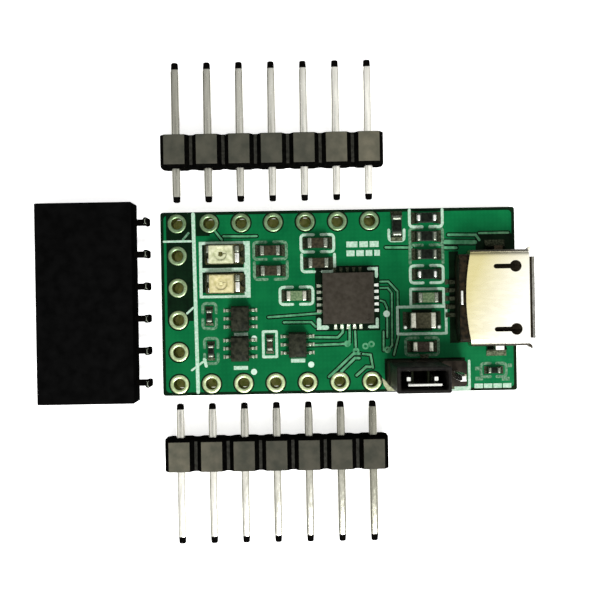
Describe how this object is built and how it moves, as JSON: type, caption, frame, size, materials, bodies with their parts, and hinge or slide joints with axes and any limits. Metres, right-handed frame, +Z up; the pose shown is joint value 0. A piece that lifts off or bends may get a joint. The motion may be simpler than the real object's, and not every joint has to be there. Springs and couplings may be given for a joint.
{
  "type": "microcontroller development board",
  "caption": "Small green microcontroller board with a micro USB port, plated edge holes, a pull-off jumper, and loose pin strips and a right-angle socket lying beside it.",
  "frame": {"origin": "centre of the circuit board's underside, on the surface that the board and the loose strips lie on", "axes": "+X along the board towards the USB port, +Y across the board towards the pin strip named a, +Z up out of the component side"},
  "size_m": [0.0385, 0.0381, 0.0086],
  "materials": {
    "solder_mask_board": "satin green solder mask over glass-fibre laminate",
    "chip_plastic": "matt moulded epoxy",
    "black_plastic": "satin moulded",
    "strip_plastic": "matt moulded, dark warm grey",
    "usb_steel": "bright plated sheet",
    "tin_plate": "bright tin plate",
    "gold_plate": "pale gold plate",
    "resistor_body": "dark glazed top",
    "capacitor_body": "plain fired ceramic",
    "led_resin": "cloudy cream resin",
    "solder": "bright solder",
    "silkscreen_ink": "printed pale ink"
  },
  "bodies": {
    "board": {"circuit_board": "solder_mask_board", "mcu_chip": "chip_plastic", "regulator_chip": "chip_plastic", "usb_guard_chip": "chip_plastic", "logic_chip": "chip_plastic", "status_led": "led_resin", "power_led": "led_resin", "resistor_1": "resistor_body", "resistor_2": "resistor_body", "resistor_3": "resistor_body", "resistor_4": "resistor_body", "resistor_5": "resistor_body", "resistor_6": "resistor_body", "resistor_7": "resistor_body", "resistor_8": "resistor_body", "capacitor_1": "capacitor_body", "capacitor_2": "capacitor_body", "capacitor_3": "capacitor_body", "capacitor_4": "capacitor_body", "capacitor_5": "capacitor_body", "capacitor_6": "capacitor_body", "capacitor_7": "capacitor_body", "capacitor_8": "capacitor_body", "capacitor_9": "capacitor_body", "usb_shell": "usb_steel", "usb_insulator": "black_plastic", "usb_contact_1": "gold_plate", "usb_contact_2": "gold_plate", "usb_contact_3": "gold_plate", "usb_contact_4": "gold_plate", "usb_contact_5": "gold_plate", "jumper_base": "black_plastic", "jumper_pin_1": "tin_plate", "jumper_pin_2": "tin_plate", "jumper_pin_3": "tin_plate"},
    "jumper_shunt": {"shunt_housing": "black_plastic", "shunt_clip": "tin_plate"},
    "pin_strip_a": {"pin_strip_a_housing": "strip_plastic", "pin_strip_a_pin_1": "tin_plate", "pin_strip_a_pin_2": "tin_plate", "pin_strip_a_pin_3": "tin_plate", "pin_strip_a_pin_4": "tin_plate", "pin_strip_a_pin_5": "tin_plate", "pin_strip_a_pin_6": "tin_plate", "pin_strip_a_pin_7": "tin_plate"},
    "pin_strip_b": {"pin_strip_b_housing": "strip_plastic", "pin_strip_b_pin_1": "tin_plate", "pin_strip_b_pin_2": "tin_plate", "pin_strip_b_pin_3": "tin_plate", "pin_strip_b_pin_4": "tin_plate", "pin_strip_b_pin_5": "tin_plate", "pin_strip_b_pin_6": "tin_plate", "pin_strip_b_pin_7": "tin_plate"},
    "socket_strip": {"socket_housing": "black_plastic", "socket_contact_1": "tin_plate", "socket_contact_2": "tin_plate", "socket_contact_3": "tin_plate", "socket_contact_4": "tin_plate", "socket_contact_5": "tin_plate", "socket_contact_6": "tin_plate"}
  },
  "joints": [
    {"name": "shunt_pull", "type": "slide", "parent": "board", "child": "jumper_shunt", "axis": [0, 0, 1], "range_m": [0, 0.0045]},
    {"name": "strip_a_slide", "type": "slide", "parent": "board", "child": "pin_strip_a", "axis": [0, 1, 0], "range_m": [0, 0.01]},
    {"name": "strip_b_slide", "type": "slide", "parent": "board", "child": "pin_strip_b", "axis": [0, -1, 0], "range_m": [0, 0.01]},
    {"name": "socket_slide", "type": "slide", "parent": "board", "child": "socket_strip", "axis": [-1, 0, 0], "range_m": [0, 0.01]}
  ]
}
